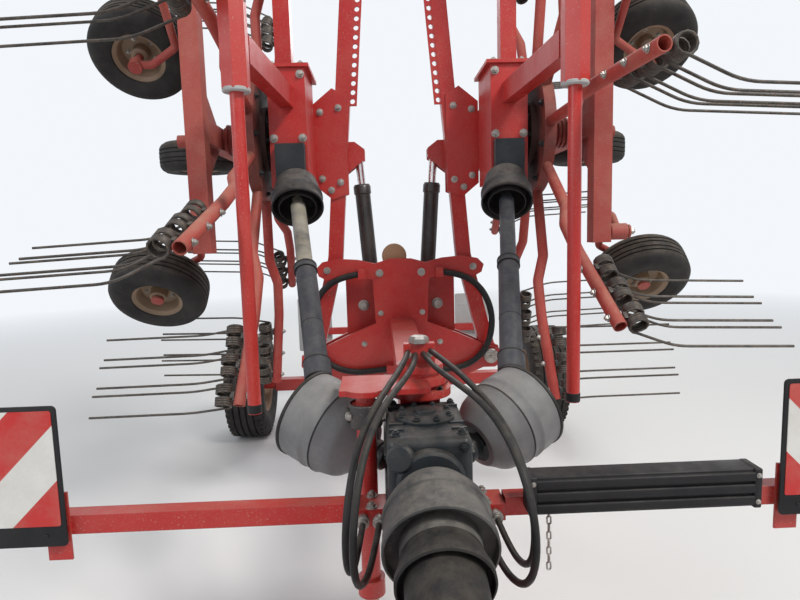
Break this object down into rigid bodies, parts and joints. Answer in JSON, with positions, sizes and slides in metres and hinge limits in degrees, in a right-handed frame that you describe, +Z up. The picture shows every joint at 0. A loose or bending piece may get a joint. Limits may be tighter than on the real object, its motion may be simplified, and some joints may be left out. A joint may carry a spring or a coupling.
{
  "type": "twin-rotor rotary rake",
  "caption": "Towed hay rake with its two tined rotors folded upright on lift arms, standing on transport wheels and a jack.",
  "frame": {"origin": "on the ground, under the middle of the machine's bounding box", "axes": "+X to the right seen from the hitch end, +Y to the rear, +Z up"},
  "size_m": [2.73, 5.1801, 3.3334],
  "materials": {
    "red_paint": "glossy bright red paint, chipped at edges",
    "faded_paint": "sun-faded dusty red paint",
    "grey_guard": "weathered light grey plastic",
    "black_plastic": "weathered black plastic",
    "black_iron": "dark painted casting with grease",
    "black_paint": "black paint",
    "bare_steel": "worn bare steel",
    "shaft_tube": "dark blue grey tube, worn silver",
    "chrome_rod": "polished rod",
    "spring_steel": "dark spring wire",
    "tyre": "dusty black rubber",
    "wheel_rim": "tan rim with rust",
    "warning_board": "red and white diagonal stripes, black frame",
    "board_back": "grey sheet",
    "hose_rubber": "black rubber hose"
  },
  "bodies": {
    "frame": {"main_frame": "red_paint", "front_gearbox": "black_iron", "bell_guards": "grey_guard", "input_shaft": "bare_steel", "input_guard": "black_plastic", "jack_tube": "red_paint", "sign_beams": "red_paint", "front_boards": "warning_board", "ribbed_box": "black_plastic", "rear_boards": "board_back", "hose_sockets": "bare_steel", "loop_hose_left": "hose_rubber", "loop_hose_right": "hose_rubber", "supply_hose_left_inner": "hose_rubber", "supply_hose_left_outer": "hose_rubber", "supply_hose_right_inner": "hose_rubber", "supply_hose_right_outer": "hose_rubber"},
    "headstock": {"headstock": "red_paint"},
    "jack_leg": {"jack_leg": "bare_steel"},
    "arm_left": {"lift_arm_left": "red_paint", "rotor_head_left": "red_paint", "guard_bar_left": "red_paint", "upper_cone_left": "black_plastic", "wheel_chassis_left": "faded_paint"},
    "rotor_left": {"rotor_left": "faded_paint", "tines_left": "spring_steel"},
    "rear_wheel_left": {"rotor_wheel_rear_left": "tyre"},
    "castor_low_left": {"castor_low_left": "faded_paint"},
    "castor_wheel_low_left": {"castor_wheel_low_left": "tyre"},
    "castor_high_left": {"castor_high_left": "faded_paint"},
    "castor_wheel_high_left": {"castor_wheel_high_left": "tyre"},
    "cylinder_barrel_left": {"cylinder_barrel_left": "black_paint"},
    "cylinder_rod_left": {"cylinder_rod_left": "chrome_rod"},
    "shaft_outer_left": {"shaft_outer_left": "shaft_tube"},
    "shaft_inner_left": {"shaft_inner_left": "shaft_tube"},
    "transport_wheel_left": {"transport_tyre_left": "tyre", "transport_rim_left": "wheel_rim"},
    "arm_right": {"lift_arm_right": "red_paint", "rotor_head_right": "red_paint", "guard_bar_right": "red_paint", "upper_cone_right": "black_plastic", "wheel_chassis_right": "faded_paint"},
    "rotor_right": {"rotor_right": "faded_paint", "tines_right": "spring_steel"},
    "rear_wheel_right": {"rotor_wheel_rear_right": "tyre"},
    "castor_low_right": {"castor_low_right": "faded_paint"},
    "castor_wheel_low_right": {"castor_wheel_low_right": "tyre"},
    "castor_high_right": {"castor_high_right": "faded_paint"},
    "castor_wheel_high_right": {"castor_wheel_high_right": "tyre"},
    "cylinder_barrel_right": {"cylinder_barrel_right": "black_paint"},
    "cylinder_rod_right": {"cylinder_rod_right": "chrome_rod"},
    "shaft_outer_right": {"shaft_outer_right": "shaft_tube"},
    "shaft_inner_right": {"shaft_inner_right": "shaft_tube"},
    "transport_wheel_right": {"transport_tyre_right": "tyre", "transport_rim_right": "wheel_rim"}
  },
  "joints": [
    {"name": "headstock_yaw", "type": "hinge", "parent": "frame", "child": "headstock", "pos_m": [0, -1.545, 0.735], "axis": [0, 0, 1], "range_deg": [-25, 25]},
    {"name": "jack_slide", "type": "slide", "parent": "frame", "child": "jack_leg", "axis": [0, 0, 1], "range_m": [0, 0.4]},
    {"name": "fold_left", "type": "hinge", "parent": "frame", "child": "arm_left", "pos_m": [-0.48, 0.46, 0.9], "axis": [0, -1, 0], "range_deg": [0, 90]},
    {"name": "rotor_spin_left", "type": "hinge", "parent": "arm_left", "child": "rotor_left", "pos_m": [-0.66, 0.16, 2.04], "axis": [-1, 0, 0], "continuous": true},
    {"name": "rear_wheel_spin_left", "type": "hinge", "parent": "arm_left", "child": "rear_wheel_left", "pos_m": [-1.145, 0.82, 2.04], "axis": [0, 0, 1], "continuous": true},
    {"name": "transport_wheel_spin_left", "type": "hinge", "parent": "frame", "child": "transport_wheel_left", "pos_m": [-1.15, 1.88, 0.4], "axis": [1, 0, 0], "continuous": true},
    {"name": "castor_swivel_low_left", "type": "hinge", "parent": "arm_left", "child": "castor_low_left", "pos_m": [-0.95, -0.17, 1.56], "axis": [1, 0, 0], "range_deg": [0, 90]},
    {"name": "castor_wheel_spin_low_left", "type": "hinge", "parent": "castor_low_left", "child": "castor_wheel_low_left", "pos_m": [-1.145, 0.04213, 1.34787], "axis": [0, -0.7071, -0.7071], "continuous": true},
    {"name": "castor_swivel_high_left", "type": "hinge", "parent": "arm_left", "child": "castor_high_left", "pos_m": [-0.95, -0.17, 2.64], "axis": [1, 0, 0], "range_deg": [0, 65]},
    {"name": "castor_wheel_spin_high_left", "type": "hinge", "parent": "castor_high_left", "child": "castor_wheel_high_left", "pos_m": [-1.145, 0.04213, 2.42787], "axis": [0, -0.7071, -0.7071], "continuous": true},
    {"name": "cylinder_swing_left", "type": "hinge", "parent": "frame", "child": "cylinder_barrel_left", "pos_m": [-0.13, 0.58, 0.95], "axis": [0, -1, 0], "range_deg": [0, 77.3]},
    {"name": "cylinder_stroke_left", "type": "slide", "parent": "cylinder_barrel_left", "child": "cylinder_rod_left", "axis": [-0.0722, 0, 0.9974], "range_m": [0, 0.416]},
    {"name": "shaft_swing_left", "type": "hinge", "parent": "frame", "child": "shaft_outer_left", "pos_m": [-0.3, -0.97, 1], "axis": [0.112, -0.9924, 0.0518], "range_deg": [0, 87.4]},
    {"name": "shaft_slide_left", "type": "slide", "parent": "shaft_outer_left", "child": "shaft_inner_left", "axis": [-0.1424, 0.7388, 0.6587], "range_m": [0, 0.195]},
    {"name": "fold_right", "type": "hinge", "parent": "frame", "child": "arm_right", "pos_m": [0.48, 0.46, 0.9], "axis": [0, 1, 0], "range_deg": [0, 90]},
    {"name": "rotor_spin_right", "type": "hinge", "parent": "arm_right", "child": "rotor_right", "pos_m": [0.66, 0.16, 2.04], "axis": [1, 0, 0], "continuous": true},
    {"name": "rear_wheel_spin_right", "type": "hinge", "parent": "arm_right", "child": "rear_wheel_right", "pos_m": [1.145, 0.82, 2.04], "axis": [0, 0, 1], "continuous": true},
    {"name": "transport_wheel_spin_right", "type": "hinge", "parent": "frame", "child": "transport_wheel_right", "pos_m": [1.15, 1.88, 0.4], "axis": [1, 0, 0], "continuous": true},
    {"name": "castor_swivel_low_right", "type": "hinge", "parent": "arm_right", "child": "castor_low_right", "pos_m": [0.95, -0.17, 1.56], "axis": [1, 0, 0], "range_deg": [0, 90]},
    {"name": "castor_wheel_spin_low_right", "type": "hinge", "parent": "castor_low_right", "child": "castor_wheel_low_right", "pos_m": [1.145, 0.04213, 1.34787], "axis": [0, -0.7071, -0.7071], "continuous": true},
    {"name": "castor_swivel_high_right", "type": "hinge", "parent": "arm_right", "child": "castor_high_right", "pos_m": [0.95, -0.17, 2.64], "axis": [1, 0, 0], "range_deg": [0, 65]},
    {"name": "castor_wheel_spin_high_right", "type": "hinge", "parent": "castor_high_right", "child": "castor_wheel_high_right", "pos_m": [1.145, 0.04213, 2.42787], "axis": [0, -0.7071, -0.7071], "continuous": true},
    {"name": "cylinder_swing_right", "type": "hinge", "parent": "frame", "child": "cylinder_barrel_right", "pos_m": [0.13, 0.58, 0.95], "axis": [0, 1, 0], "range_deg": [0, 77.3]},
    {"name": "cylinder_stroke_right", "type": "slide", "parent": "cylinder_barrel_right", "child": "cylinder_rod_right", "axis": [0.0722, 0, 0.9974], "range_m": [0, 0.416]},
    {"name": "shaft_swing_right", "type": "hinge", "parent": "frame", "child": "shaft_outer_right", "pos_m": [0.3, -0.97, 1], "axis": [0.112, 0.9924, -0.0518], "range_deg": [0, 87.4]},
    {"name": "shaft_slide_right", "type": "slide", "parent": "shaft_outer_right", "child": "shaft_inner_right", "axis": [0.1424, 0.7388, 0.6587], "range_m": [0, 0.195]}
  ],
  "couplings": [
    {"joint": "cylinder_swing_left", "follows": "fold_left", "ratio": 0.85643},
    {"joint": "cylinder_stroke_left", "follows": "fold_left", "m_per_rad": 0.26385},
    {"joint": "shaft_swing_left", "follows": "fold_left", "ratio": 0.96812},
    {"joint": "shaft_slide_left", "follows": "fold_left", "m_per_rad": 0.12352},
    {"joint": "cylinder_swing_right", "follows": "fold_right", "ratio": 0.85643},
    {"joint": "cylinder_stroke_right", "follows": "fold_right", "m_per_rad": 0.26385},
    {"joint": "shaft_swing_right", "follows": "fold_right", "ratio": 0.96812},
    {"joint": "shaft_slide_right", "follows": "fold_right", "m_per_rad": 0.12352}
  ]
}
